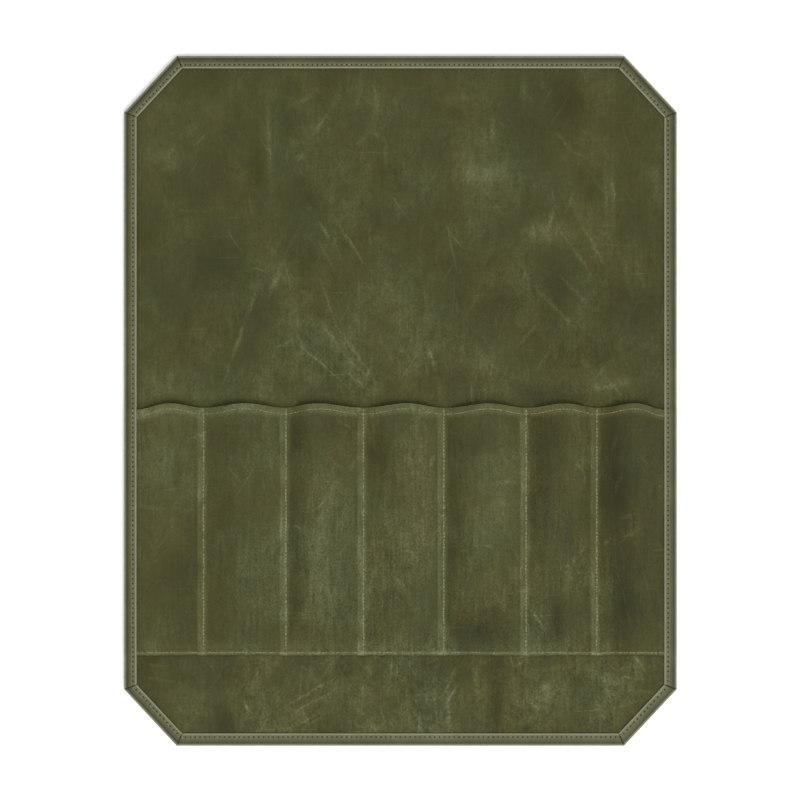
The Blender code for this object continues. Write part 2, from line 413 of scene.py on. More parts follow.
def solid_parts(flat, top, bottom):
    """Points and faces of the closed solid between two heights over a flat grid."""
    flat.verts.index_update()
    places = [(vertex.co.x, vertex.co.y) for vertex in flat.verts]
    count = len(places)
    points = [(x, y, top(x, y)) for x, y in places] + [(x, y, bottom(x, y)) for x, y in places]
    faces = []
    for face in flat.faces:
        loop = [vertex.index for vertex in face.verts]
        faces.append(loop)
        faces.append([index + count for index in reversed(loop)])
    for edge in flat.edges:
        if len(edge.link_faces) == 1:
            corner = edge.link_loops[0]
            first, second = corner.vert.index, corner.link_loop_next.vert.index
            faces.append([second, first, first + count, second + count])
    return points, faces


def join_parts(parts):
    points, faces = [], []
    for part_points, part_faces in parts:
        shift = len(points)
        points += part_points
        faces += [[index + shift for index in face] for face in part_faces]
    return points, faces


def leather_piece(name, flat, top, bottom, material, tone, extra=()):
    points, faces = join_parts([solid_parts(flat, top, bottom), *extra])
    flat.free()
    return new_piece(name, points, faces, material, [tone(x, y) for x, y, _ in points])


def flat_area(flat):
    return sum(face.calc_area() for face in flat.faces)


def bar_parts(section, side, along):
    """Closed bar along Y through a closed section of x, z points, which runs anticlockwise when it
    goes to the right of its seam (side 1), and clockwise when it goes to the left (side -1)."""
    section = section[::side]
    size = len(section)
    points = [(x, y, z) for y in along for x, z in section]
    faces = [list(range(size)), list(reversed(range(size * (len(along) - 1), size * len(along))))]
    for row in range(len(along) - 1):
        for i in range(size):
            a, b = row * size + i, row * size + (i + 1) % size
            faces.append([b, a, a + size, b + size])
    return points, faces


# How far a hidden strip reaches back over its seam.
STRIP_OVERLAP = 1.0 * MM


def arc_bar(seam, side, inner, outer, along):
    """Bar whose section is a short arc about the roll axis, going to one side of a seam."""
    start, end, parts = math.radians(-2), ROLL_HALF + math.radians(0.6), 8
    section = []
    for radius, steps in ((outer, range(parts + 1)), (inner, range(parts, -1, -1))):
        for step in steps:
            angle = start + (end - start) * step / parts
            x, z = side * radius * math.sin(angle), radius * math.cos(angle)
            section.append((seam + x, ROLL_Z - z))
    return bar_parts(section, side, along)


def mitred_bar(seam, side, low, high, along):
    """Bar between two heights to one side of a seam, as far as the mitre of the wound-up roll."""
    foot = seam - side * STRIP_OVERLAP
    low_end, high_end = (seam + side * (ROLL_Z - z) * math.tan(ROLL_HALF) for z in (low, high))
    section = [(foot, low), (low_end, low), (high_end, high), (foot, high)]
    return bar_parts(section, side, along)


def flat_slab(seam, side, low, high, along):
    """Flat strip to one side of a seam, which closes the slit that opens there in rolling."""
    reach = (ROLL_Z - high(seam, SPLIT_Y)) * math.tan(ROLL_HALF)
    ends = sorted((seam - side * STRIP_OVERLAP, seam + side * reach))
    shape = flat_grid(stations(ends[0], ends[1], 1.5 * MM), along)
    parts = solid_parts(shape, lambda x, y: high(x, y) - HIDDEN, lambda x, y: low(x, y) + HIDDEN)
    shape.free()
    return parts


# ---- baked transforms, seams and columns
def bend_over_seam(piece):
    """Piece crosses the seam between two columns; only its transform is baked into its mesh here."""
    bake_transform(piece)


def bend_over_fold(piece):
    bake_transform(piece)


def columns_at(seam):
    """The columns whose CAD nodes the piece over a seam stands for."""
    return (seam, COLUMNS) if seam == COLUMNS - 1 else (seam,)


def seams_beside(column):
    """The seams at the sides of a column, each with the side it is on."""
    sides = ((-1, column - 1), (1, column))
    return [(side, SEAMS[seam - 1]) for side, seam in sides if 0 < seam < COLUMNS]


# ---- full-size leathers
# Outer radius about the roll axis of the hidden curved strips to either side of a seam, and
# their thickness.
STRIP_RADIUS = {-1: ROLL_Z - OUTER_LOW - 0.06 * MM, 1: ROLL_Z - OUTER_LOW - 0.03 * MM}
STRIP = 0.35 * MM


def make_lower_leather(kind, material, slot, top, bottom, tone, step):
    """The part of the outer leather or the lining that lies below the fold."""
    for seam in range(1, COLUMNS):
        left, right = lower_span(seam, PANEL_INSET)
        low = -HALF_H + PANEL_INSET
        flat = flat_grid(stations(left, right, step, SEAM_MARKS), stations(low, SPLIT_Y, step))
        cut_corners(flat, PANEL_INSET)
        area = flat_area(flat)
        piece = leather_piece("%s_lower_%d" % (kind, seam), flat, top, bottom, material, tone)
        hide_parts(*["%s_panel_%d" % (kind, column) for column in columns_at(seam)])
        bend_over_seam(piece)


def make_flap_leather(kind, material, slot, top, bottom, tone, step):
    """The part of the outer leather or the lining that folds over the pockets.

    Its columns part along the seams when the roll is wound up. Hidden strips then bridge the
    slits: curved ones behind the outer leather and flat ones in the lining.
    """
    high = HALF_H - PANEL_INSET
    fold_marks = stations(SPLIT_Y, FOLD_Y + BEND_HALF + 1 * MM, 1.2 * MM)
    along = stations(SPLIT_Y, high, step, fold_marks)
    for column in range(1, COLUMNS + 1):
        left, right = column_span(column, PANEL_INSET)
        flat = flat_grid(stations(left, right, step, SEAM_MARKS), along)
        cut_corners(flat, PANEL_INSET)
        area = flat_area(flat)
        strips = []
        for side, seam in seams_beside(column):
            radius = STRIP_RADIUS[side]
            if kind == "outer":
                strips.append(arc_bar(seam, side, radius - STRIP, radius, along))
            else:
                strips.append(flat_slab(seam, side, bottom, top, along))
        name = "%s_flap_leather_%d" % (kind, column)
        piece = leather_piece(name, flat, top, bottom, material, tone, strips)
        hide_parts("%s_flap_%d" % (kind, column))
        bend_over_fold(piece)


# ---- pocket front
def make_pocket_fronts(material):
    # Steps up from the base and down from the mouth, close together where the leather is shaped.
    rise = [step * MM for step in (0.0, 0.25, 0.55, 0.9, 1.4, 2.0, 2.8, 3.8, 5.2)]
    fall = [step * MM for step in (0.0, 0.15, 0.4, 0.8, 1.4, 2.2, 3.0, 3.8, 4.4, 5.2, 6.4)]
    height = MOUTH_PEAK - POCKET_BASE
    body = stations(rise[-1], height - fall[-1], 2.0 * MM)
    shares = [step / height for step in rise[:-1] + body]
    shares += [1 - step / height for step in reversed(fall[:-1])]

    def place(x, share):
        return x, base(x) + (mouth(x) - base(x)) * share

    for seam in range(1, COLUMNS):
        left, right = lower_span(seam, PANEL_INSET)
        flat = flat_grid(stations(left, right, 1.6 * MM, SEAM_MARKS), shares, place)
        area = flat_area(flat)
        piece = leather_piece(
            "pocket_leather_%d" % seam, flat, pocket_top, pocket_bottom, material, pocket_tone
        )
        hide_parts(*["pocket_front_%d" % column for column in columns_at(seam)])
        bend_over_seam(piece)


# ---- edge binding
class Edge:
    """One straight edge of the outline, walked with the roll on its left."""

    def __init__(self, name, start, end):
        self.name = name
        self.start = Vector(start)
        self.end = Vector(end)
        self.along = (self.end - self.start).normalized()
        self.inward = Vector((-self.along.y, self.along.x))
        self.start_mitre = self.inward
        self.end_mitre = self.inward

    def point(self, inset, distance):
        return self.start + self.along * distance + self.inward * inset

    def start_point(self, inset):
        return self.start + self.start_mitre * inset

    def end_point(self, inset):
        return self.end + self.end_mitre * inset

    def stitch_row(self):
        """Distance of the first stitch hole from the edge's start, the pitch and the number."""
        first = (self.start_point(STITCH_INSET) - self.start).dot(self.along)
        last = (self.end_point(STITCH_INSET) - self.start).dot(self.along)
        count = round((last - first) / BINDING_PITCH)
        return first, (last - first) / count, count


def make_edges():
    """The eight edges of the outline, anticlockwise from the bottom one, with their mitres."""
    x, y = HALF_W - CORNER_X, HALF_H - CORNER_Y
    corners = [
        (-x, -HALF_H), (x, -HALF_H), (HALF_W, -y), (HALF_W, y),
        (x, HALF_H), (-x, HALF_H), (-HALF_W, y), (-HALF_W, -y),
    ]
    names = ("bottom", "bottom_right", "right", "top_right", "top", "top_left", "left", "bottom_left")
    edges = [Edge(name, corners[i], corners[(i + 1) % 8]) for i, name in enumerate(names)]
    for before, after in zip(edges, edges[1:] + edges[:1]):
        mitre = (before.inward + after.inward) / (1 + before.inward.dot(after.inward))
        before.end_mitre = mitre
        after.start_mitre = mitre
    return {edge.name: edge for edge in edges}


# Section of the binding: inset from the edge in mm, share of the upper lip's height and extra
# height in mm.
BINDING_SECTION = (
    (6.95, 0, 0.42), (6.87, 0, 0.16), (6.55, 0, 0.02), (6.0, 0, 0.0), (5.35, 0, 0.04), (4.9, 0, 0.14),
    (4.45, 0, 0.04), (3.6, 0, 0.0), (2.2, 0, 0.0), (1.3, 0, 0.06), (0.7, 0, 0.28), (0.3, 0, 0.62),
    (0.08, 0.30, 0.0), (0.0, 0.5, 0.0), (0.04, 0.74, 0.0), (0.14, 1, -0.74), (0.36, 1, -0.52),
    (0.7, 1, -0.42), (1.05, 1, -0.40), (1.4, 1, -0.42), (1.8, 1, -0.32), (2.4, 1, -0.20),
    (3.1, 1, -0.14), (3.7, 1, -0.08), (4.3, 1, -0.10), (4.6, 1, -0.20), (4.9, 1, -0.26),
    (5.2, 1, -0.20), (5.5, 1, -0.08), (6.0, 1, 0.0), (6.5, 1, -0.02), (6.76, 1, -0.10),
    (6.91, 1, -0.26), (6.95, 1, -0.5), (6.85, 1, -0.80), (1.7, 1, -0.86), (0.95, 0.5, 0.0),
    (1.7, 0, 0.84), (6.85, 0, 0.78),
)


# How deep the lips dip into a mitre, and how far from it the dip begins.
MITRE_DIP = 0.22 * MM
MITRE_REACH = 0.6 * MM


def binding_tone(inset, share, drop_share):
    """Pale on the rim, along the stitches and on the cut inner edge. Darker with painted shade in the
    shallow groove behind the rim and in the mitres.
    """
    inset = inset / MM
    # Near a mitre, drop_share darkens the binding: painted shade of the gap where two strips meet.
    if share < 0.6 and inset < 2.0:
        return 0.3 - 0.9 * drop_share
    rim = 1.12 * (1 - ease((inset - 0.95) / 0.5))
    # Painted shade in the shallow groove behind the rim.
    groove = -0.45 * bell(inset - 1.6, 0.6)
    slope = 0.25 * ease((inset - 2.0) / 2.2)
    strip = 0.45 * ease((inset - 3.6) / 0.5)
    inner = 0.85 * ease((inset - 5.95) / 0.35)
    return rim + groove + slope + strip + inner - 0.9 * drop_share


def binding_piece(name, edge, low=None, high=None, extra=()):
    """Binding along an edge between two distances from its start.

    Where a distance isn't given, it ends in the edge's mitre, a small gap away from its neighbour.
    """
    gap = 0.05 * MM

    def near(inset):
        return edge.start_point(inset) + edge.along * gap if low is None else edge.point(inset, low)

    def far(inset):
        return edge.end_point(inset) - edge.along * gap if high is None else edge.point(inset, high)

    length = (far(0.0) - near(0.0)).length
    ends = [step * MM for step in (0.12, 0.3, 0.55, 0.9, 1.5)]
    marks = (ends if low is None else []) + ([length - step for step in ends] if high is None else [])
    rows = [value / length for value in stations(0.0, length, 1.5 * MM, marks)]
    first, pitch, _ = edge.stitch_row()
    points, tones, stitch_places = [], [], []
    for row in rows:
        from_start = row * length if low is None else math.inf
        from_end = (1 - row) * length if high is None else math.inf
        drop = 1 - ease(min(from_start, from_end) / MITRE_REACH)
        for inset_mm, share, extra_mm in BINDING_SECTION:
            inset = inset_mm * MM
            place = near(inset).lerp(far(inset), row)
            top = lip_top(place.y)
            z = share * top + extra_mm * MM
            z += drop * MITRE_DIP * {0: 1, 1: -1}.get(share, 0)
            points.append((place.x, place.y, max(z, 0.0)))
            # The mitre's painted shade is half as strong on the cut inner edge.
            tones.append(binding_tone(inset, share, drop * (1 if inset_mm < 6.3 else 0.5)))
            distance = (place - edge.start).dot(edge.along)
            stitch_places.append(((distance - first) / pitch * BINDING_PITCH, inset, 0.0))
    size = len(BINDING_SECTION)
    faces = [list(range(size)), list(reversed(range(len(points) - size, len(points))))]
    for row in range(len(rows) - 1):
        for i in range(size):
            a, b = row * size + i, row * size + (i + 1) % size
            faces.append([a, a + size, b + size, b])
    added = sum(len(part[0]) for part in extra)
    tones += [0.5] * added
    stitch_places += [(0.0, 0.0, 0.0)] * added
    points, faces = join_parts([(points, faces), *extra])
    piece = new_piece(name, points, faces, MATERIALS["binding"], tones, crease=35.0)
    paint(piece.data, "stitch", stitch_places)
    return piece


def binding_strips(seam, side):
    """Hidden strips of the top binding: behind its back lip, its rim and its front lip.

    Those to the right of a seam are shifted a little, so that no two faces lie in one plane.
    """
    shift = 0.04 * MM * (side > 0)
    inner, outer = HALF_H - BINDING + HIDDEN, HALF_H - 0.4 * MM
    back = arc_bar(seam, side, ROLL_Z - 0.6 * MM, ROLL_Z - 0.08 * MM - shift, [inner, outer])
    rim = [HALF_H - 0.75 * MM, HALF_H - 0.12 * MM - shift]
    wall = mitred_bar(seam, side, 0.8 * MM, FLAP_LIP - 0.95 * MM, rim)
    front = [inner, HALF_H - 0.8 * MM]
    lip = mitred_bar(seam, side, FLAP_LIP - 0.84 * MM, FLAP_LIP - 0.58 * MM, front)
    return [back, wall, lip]


# ---- stitches
# Place along a stitch's half length and share of its girth there.
STITCH_RINGS = (
    (-1.0, 0.0), (-0.86, 0.55), (-0.45, 0.95), (0.0, 1.0), (0.45, 0.95), (0.86, 0.55), (1.0, 0.0),
)
STITCH_SIDES = 6
# How far the ends of a stitch dip into the leather, and how far a pocket's stitch stands up.
STITCH_DIP = 0.12 * MM
STITCH_LIFT = 0.06 * MM


def stitch_mesh(spots, length, width):
    """One small spindle for each spot, which is a middle, a direction and an up vector."""
    points, faces = [], []
    for middle, direction, up in spots:
        middle, direction, up = Vector(middle), Vector(direction).normalized(), Vector(up)
        across = up.cross(direction).normalized()
        first = len(points)
        for share, girth in STITCH_RINGS:
            centre = middle + direction * share * length / 2 - up * (share ** 4) * STITCH_DIP
            if girth == 0.0:
                points.append(tuple(centre))
                continue
            for side in range(STITCH_SIDES):
                angle = 2 * math.pi * side / STITCH_SIDES
                offset = across * math.cos(angle) * width + up * math.sin(angle) * THREAD_HEIGHT
                points.append(tuple(centre + offset * girth / 2))
        last = len(points) - 1
        first_ring, last_ring = first + 1, last - STITCH_SIDES
        for side in range(STITCH_SIDES):
            after = (side + 1) % STITCH_SIDES
            faces.append([first, first_ring + after, first_ring + side])
            for low in range(first_ring, last_ring, STITCH_SIDES):
                high = low + STITCH_SIDES
                faces.append([low + side, low + after, high + after, high + side])
            faces.append([last_ring + side, last_ring + after, last])
    return points, faces


def thread_piece(name, spots, length, width=THREAD_WIDTH):
    points, faces = stitch_mesh(spots, length, width)
    piece = new_piece(name, points, faces, MATERIALS["thread"], crease=80.0)
    return piece


def row_spots(points):
    """Spots for stitches between neighbouring points of a row on the pocket front."""
    spots = []
    for (x0, y0), (x1, y1) in zip(points, points[1:]):
        z0, z1 = pocket_top(x0, y0), pocket_top(x1, y1)
        x, y = (x0 + x1) / 2, (y0 + y1) / 2
        z = max(pocket_top(x, y), (z0 + z1) / 2) + STITCH_LIFT
        spots.append(((x, y, z), (x1 - x0, y1 - y0, z1 - z0), (0.0, 0.0, 1.0)))
    return spots


def make_pocket_threads():
    for seam in range(1, COLUMNS):
        left, right = lower_span(seam, BINDING)
        across = stations(left, right, SEAM_PITCH)
        hem = row_spots([(x, hem_row(x)) for x in across])
        foot = row_spots([(x, base(x) + BASE_ROW) for x in across])
        x = SEAMS[seam - 1]
        down = stations(base(x) + 1.0 * MM, mouth(x) - 0.6 * MM, SEAM_PITCH)
        drift = [0.3 * wave(y, 0, 14 * MM, seam) + 0.2 * wave(y, 0, 3.3 * MM, seam) for y in down]
        divider = row_spots([(x + off * MM, y) for off, y in zip(drift, down)])
        rows = (("hem", hem, 0.6), ("base", foot, 0.6), ("divider", divider, 0.95))
        for kind, spots, width in rows:
            name = "%s_thread_%d" % (kind, seam)
            piece = thread_piece(name, spots, SEAM_STITCH, width * MM)
            bend_over_seam(piece)


def binding_spots(edge):
    """Stitches of the front and of the back lip along an edge."""
    first, pitch, count = edge.stitch_row()
    back = 0.22 * MM
    spots = []
    for i in range(count):
        place = edge.point(STITCH_INSET, first + (i + 0.5) * pitch)
        direction = (edge.along.x, edge.along.y, 0.0)
        front = lip_top(place.y) - 0.20 * MM
        spots.append(((place.x, place.y, front), direction, (0.0, 0.0, 1.0)))
        spots.append(((place.x, place.y, back), direction, (0.0, 0.0, -1.0)))
    return spots


# ---- bindings with their stitches
def between(spots, low, high, axis=0):
    """The stitches whose middles lie between two values of x, or of y for axis 1."""
    return [spot for spot in spots if low <= spot[0][axis] < high]


def make_bottom_binding(edge):
    stitches = binding_spots(edge)
    for seam in range(1, COLUMNS):
        left, right = lower_span(seam, 0.0)
        low = None if seam == 1 else left - edge.start.x
        high = None if seam == COLUMNS - 1 else right - edge.start.x
        piece = binding_piece("bottom_binding_%d" % seam, edge, low, high)
        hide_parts(*["binding_bottom_%d" % column for column in columns_at(seam)])
        bend_over_seam(piece)
        inside = between(stitches, left, right)
        bend_over_seam(thread_piece("bottom_thread_%d" % seam, inside, BINDING_STITCH))


def make_top_binding(edge):
    stitches = binding_spots(edge)
    for column in range(1, COLUMNS + 1):
        left, right = column_span(column, 0.0)
        low = None if column == COLUMNS else edge.start.x - right
        high = None if column == 1 else edge.start.x - left
        extra = [part for side, seam in seams_beside(column) for part in binding_strips(seam, side)]
        piece = binding_piece("top_binding_%d" % column, edge, low, high, extra)
        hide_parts("binding_top_%d" % column)
        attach(piece, "flap_%d" % column)
        inside = between(stitches, left, right)
        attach(thread_piece("top_thread_%d" % column, inside, BINDING_STITCH), "flap_%d" % column)


def make_side_binding(edge, column):
    split = abs(SPLIT_Y - edge.start.y)
    lower, upper = (None, split), (split, None)
    if edge.along.y < 0:
        lower, upper = upper, lower
    piece = binding_piece("%s_binding_lower" % edge.name, edge, *lower)
    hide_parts("binding_%s_lower" % edge.name)
    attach(piece, "panel_%d" % column)
    piece = binding_piece("%s_binding_upper" % edge.name, edge, *upper)
    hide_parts("binding_%s_upper" % edge.name)
    bend_over_fold(piece)
    stitches = binding_spots(edge)
    inside = between(stitches, -HALF_H, SPLIT_Y, axis=1)
    piece = thread_piece("%s_thread_lower" % edge.name, inside, BINDING_STITCH)
    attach(piece, "panel_%d" % column)
    inside = between(stitches, SPLIT_Y, HALF_H, axis=1)
    bend_over_fold(thread_piece("%s_thread_upper" % edge.name, inside, BINDING_STITCH))


def make_corner_binding(edge, body):
    piece = binding_piece("%s_corner_binding" % edge.name, edge)
    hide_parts("binding_corner_%s" % edge.name)
    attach(piece, body)
    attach(thread_piece("%s_binding_thread" % edge.name, binding_spots(edge), BINDING_STITCH), body)


def make_bindings():
    edges = make_edges()
    make_bottom_binding(edges["bottom"])
    make_top_binding(edges["top"])
    for name, column in (("left", 1), ("right", COLUMNS)):
        make_side_binding(edges[name], column)
        make_corner_binding(edges["bottom_" + name], "panel_%d" % column)
        make_corner_binding(edges["top_" + name], "flap_%d" % column)


# ---- materials
class Shader:
    """A material under construction; most methods add nodes and return an output socket."""

    def __init__(self, name):
        self.material = bpy.data.materials.new(name)
        self.material.use_nodes = True
        self.tree = self.material.node_tree
        self.surface = self.tree.nodes["Principled BSDF"]

    def add(self, kind, inputs=(), output=0, **settings):
        node = self.tree.nodes.new("ShaderNode" + kind)
        for key, value in settings.items():
            setattr(node, key, value)
        for key, value in dict(inputs).items():
            self.give(node.inputs[key], value)
        return node.outputs[output]

    def give(self, socket, value):
        if isinstance(value, bpy.types.NodeSocket):
            self.tree.links.new(value, socket)
        else:
            socket.default_value = value

    def math(self, operation, a, b=0.0):
        return self.add("Math", {0: a, 1: b}, operation=operation)

    def times(self, a, b):
        return self.math("MULTIPLY", a, b)

    def plus(self, a, b):
        return self.math("ADD", a, b)

    def centred(self, layer, weight):
        """A layer of noise moved to lie about 0 and weighted."""
        return self.times(self.math("SUBTRACT", layer, 0.5), weight)

    def painted(self, name):
        """The number that the mesh carries under a name."""
        return self.add("Attribute", output=2, attribute_name=name)

    def rest_place(self):
        """The rest place of a point of the piece, in mm."""
        rest = self.add("Attribute", output=1, attribute_name="rest")
        return self.scaled(rest, 1 / MM, 1 / MM, 1 / MM)

    def finish(self, colour, roughness, gloss, height, depth, strength):
        """Joins colour, roughness and bump to the surface and gives the material."""
        bump = self.add("Bump", {"Strength": strength, "Distance": depth, "Height": height})
        looks = {"Base Color": colour, "Roughness": roughness, "Normal": bump}
        for key, value in {**looks, "Specular IOR Level": gloss}.items():
            self.give(self.surface.inputs[key], value)
        return self.material

    def strongest(self, lines):
        total = lines[0]
        for line in lines[1:]:
            total = self.math("MAXIMUM", total, line)
        return total

    def moved(self, vector, by, operation="ADD"):
        return self.add("VectorMath", {0: vector, 1: by}, operation=operation)

    def scaled(self, vector, x, y, z=1.0):
        return self.add("VectorMath", {0: vector, 1: (x, y, z)}, operation="MULTIPLY")

    def noise(self, vector, size, detail=4.0, roughness=0.6, distortion=0.0, colour=False):
        inputs = {"Vector": vector, "Scale": 1.0 / size, "Detail": detail}
        inputs.update({"Roughness": roughness, "Distortion": distortion})
        return self.add("TexNoise", inputs, output=1 if colour else 0)

    def span(self, value, low, high, to_low=0.0, to_high=1.0):
        inputs = {"Value": value, "From Min": low, "From Max": high}
        inputs.update({"To Min": to_low, "To Max": to_high})
        return self.add("MapRange", inputs, interpolation_type="SMOOTHSTEP")

    def mix(self, factor, a, b, blend_type="MIX"):
        inputs = {"Factor": factor, 6: a, 7: b}
        return self.add("Mix", inputs, output=2, data_type="RGBA", blend_type=blend_type)

    def ramp(self, value, stops):
        output = self.add("ValToRGB", {"Fac": value})
        ramp = output.node.color_ramp
        while len(ramp.elements) < len(stops):
            ramp.elements.new(0.5)
        for element, (place, colour) in zip(ramp.elements, stops):
            element.position = place
            element.color = colour
        return output


# Creases and scratches of the hide: ends x0, y0, x1, y1 and width in mm, and strength.
LINING_SCRATCHES = (
    (-114, 140, -107, 148, 1.0, 0.6), (-49, 146, -39, 160, 1.2, 0.6), (-65, 161, -40, 173, 2.2, 0.3),
    (-40, 160, -31, 172, 2.5, 0.3), (-59, 132, -52, 137, 2.2, 0.6), (-52, 106, -48, 107, 1.6, 0.5),
    (-45, 100, -39, 88, 1.4, 0.8), (-38, 103, -18, 73, 1.3, 0.8), (-17, 98, -17, 80, 1.2, 0.5),
    (-46, 89, -35, 70, 1.2, 0.4), (-79, 62, -86, 44, 1.7, 0.7), (-85, 46, -94, 21, 1.6, 0.85),
    (-94, 22, -98, 8, 1.3, 0.5), (-65, 78, -73, 56, 2.6, 0.5), (-54, 99, -66, 77, 1.5, 0.3),
    (-45, 69, -35, 41, 1.2, 0.5), (-36, 43, -10, 5, 1.4, 0.5), (-46, 48, -33, 27, 1.8, 0.5),
    (-35, 30, -16, 11, 1.5, 0.5), (-60, 35, -26, 5, 1.0, 0.75), (-30, 16, -14, 3, 1.0, 0.5),
    (-59, 34, -66, 31, 1.2, 0.4), (-74, 170, -71, 113, 1.8, 0.35), (-15, 183, -12, 153, 1.8, 0.3),
    (-26, 139, -16, 150, 2.2, 0.35), (-17, 150, -7, 143, 2.2, 0.35), (-8, 144, -9, 128, 2.2, 0.35),
    (-127, 20, -127, 4, 2.2, 0.4), (-95, 52, -93, 30, 1.5, 0.3), (-83, 73, -75, 72, 1.2, 0.6),
    (-125, 105, -112, 105, 0.9, 0.3), (-106, 91, -91, 91, 0.9, 0.3), (51, 158, 51, 141, 2.0, 0.5),
    (53, 140, 53, 128, 1.6, 0.3), (113, 138, 114, 90, 1.5, 0.4), (117, 137, 118, 92, 1.6, 0.5),
    (110, 86, 122, 86, 1.1, 0.4), (108, 97, 118, 97, 1.1, 0.4), (97, 118, 90, 102, 1.5, 0.5),
    (86, 109, 80, 90, 2.2, 0.5), (87, 96, 108, 66, 1.5, 0.5), (100, 98, 114, 73, 1.6, 0.6),
    (86, 71, 105, 52, 1.5, 0.5), (75, 62, 96, 41, 1.9, 0.5), (72, 102, 74, 89, 1.4, 0.4),
    (85, 150, 94, 138, 1.5, 0.35), (93, 139, 106, 132, 1.5, 0.35), (36, 47, 45, 61, 1.5, 0.4),
    (30, 58, 32, 48, 1.2, 0.35), (12, 66, 15, 50, 1.2, 0.3), (14, 33, 20, 16, 1.8, 0.7),
    (19, 17, 23, 0, 2.2, 0.4), (63, 28, 77, 44, 1.6, 0.4), (52, 39, 54, 50, 1.4, 0.35),
    (74, 15, 84, 31, 1.4, 0.35), (106, 12, 115, 20, 1.6, 0.4), (98, 5, 132, 12, 3.0, 0.4),
    (68, 75, 72, 60, 1.6, 0.4), (123, 81, 128, 56, 2.2, 0.35), (130, 78, 135, 60, 2.0, 0.3),
    (68, 182, 69, 158, 1.6, 0.3), (78, 182, 79, 168, 1.6, 0.3), (-64, -169, -37, -153, 1.2, 0.7),
    (-57, -171, -33, -158, 1.2, 0.5), (-64, -182, -41, -171, 1.2, 0.5),
    (-58, -183, -36, -170, 1.2, 0.4), (-78, -161, -67, -158, 1.2, 0.4),
    (-88, -165, -82, -173, 1.4, 0.5), (-56, -146, -50, -150, 1.4, 0.5),
    (-91, -181, -85, -174, 1.4, 0.4), (-22, -166, -20, -153, 2.4, 0.4),
    (-146, -144, -128, -147, 1.2, 0.35), (-144, -152, -121, -156, 1.2, 0.35),
    (26, -150, 27, -184, 1.9, 0.6), (32, -145, 25, -159, 1.6, 0.5), (41, -142, 43, -168, 2.4, 0.4),
    (72, -149, 98, -146, 2.0, 0.3), (62, -147, 70, -143, 1.4, 0.6), (122, -153, 129, -153, 1.2, 0.5),
    (125, -160, 146, -161, 1.2, 0.4), (115, -170, 139, -164, 1.2, 0.35),
)
POCKET_SCRATCHES = (
    (-61, -69, -52, -70, 1.2, 0.5), (-50, -62, -39, -53, 1.3, 0.35), (-145, -58, -131, -60, 1.8, 0.35),
    (-143, -21, -135, -18, 1.8, 0.35), (-118, -22, -104, -16, 1.4, 0.45),
    (-28, -40, -23, -28, 2.0, 0.45), (-36, -10, -27, -15, 1.2, 0.35), (-40, -30, -28, -42, 2.2, 0.25),
    (71, -114, 80, -127, 1.1, 0.6), (97, -34, 101, -40, 1.3, 0.5), (101, -39, 102, -46, 1.3, 0.5),
    (95, -91, 97, -84, 1.2, 0.5), (97, -85, 103, -80, 1.2, 0.5), (84, -92, 95, -91, 1.2, 0.4),
    (118, -28, 119, -18, 1.2, 0.5), (122, -40, 118, -52, 1.4, 0.5), (120, -65, 129, -63, 1.5, 0.5),
    (122, -78, 132, -69, 2.0, 0.5), (112, -80, 116, -76, 1.4, 0.6), (48, -46, 69, -44, 1.4, 0.35),
    (43, -79, 52, -81, 1.3, 0.4), (56, -26, 59, -35, 1.3, 0.35), (62, -81, 67, -90, 1.3, 0.4),
    (31, -56, 43, -52, 1.5, 0.35), (19, -27, 16, -37, 1.8, 0.5), (12, -52, 14, -62, 1.4, 0.35),
    (1, -41, 14, -39, 1.6, 0.3), (-6, -95, 4, -104, 1.6, 0.35),
)


def add_scratches(shader, place, scratches):
    """Pale rubbed lines that fade to their ends; place is in mm. Gives their strength."""
    flat = shader.scaled(place, 1.0, 1.0, 0.0)
    warp = shader.noise(flat, 6.0, 3.0, 0.6, colour=True)
    warp = shader.moved(warp, (0.5, 0.5, 0.5), "SUBTRACT")
    bent = shader.moved(flat, shader.scaled(warp, 2.6, 2.6, 0.0))
    lines = []
    for x0, y0, x1, y1, width, strength in scratches:
        half = math.hypot(x1 - x0, y1 - y0) / 2
        inputs = {
            "Vector": bent,
            "Location": ((x0 + x1) / 2, (y0 + y1) / 2, 0.0),
            "Rotation": (0.0, 0.0, math.atan2(y1 - y0, x1 - x0)),
            "Scale": (half * 1.15, width, 1.0),
        }
        local = shader.add("Mapping", inputs, vector_type="TEXTURE")
        glow = shader.add("TexGradient", {"Vector": local}, output=1, gradient_type="SPHERICAL")
        lines.append(shader.times(glow, strength))
    return shader.strongest(lines)


# Brightness of the studio light on a flat white sheet, and the white light that the sheen of the
# leather adds: the colours are given as they look with both.
EXPOSURE = 1.41
GLOSS = 0.014


def linear(value):
    """Linear light of a display value of 0 to 255."""
    value = value / 255
    return value / 12.92 if value <= 0.04045 else ((value + 0.055) / 1.055) ** 2.4


def lit(red, green, blue):
    """Surface colour that looks like the given one, in display values of 0 to 255, when lit."""
    return (*[max(linear(value) - GLOSS, 0.002) / EXPOSURE for value in (red, green, blue)], 1.0)


# Waxed hide, from its dark to its rubbed places.
HIDE_STOPS = (
    (0.10, lit(45, 45, 29)), (0.38, lit(68.3, 68.7, 43.5)), (0.50, lit(78.6, 79.2, 50)),
    (0.62, lit(88.7, 90, 58.8)), (0.80, lit(104.6, 107.8, 76.5)), (1.00, lit(134, 137.5, 111)),
)
BINDING_STOPS = (
    (0.10, lit(46, 44, 28)), (0.38, lit(70, 71, 46)), (0.50, lit(82, 83, 54)),
    (0.72, lit(103, 103, 76)), (1.00, lit(140, 139, 114)),
)
BROWN_TINT = (1.03, 0.985, 0.93, 1.0)
GREEN_TINT = (0.97, 1.01, 1.04, 1.0)


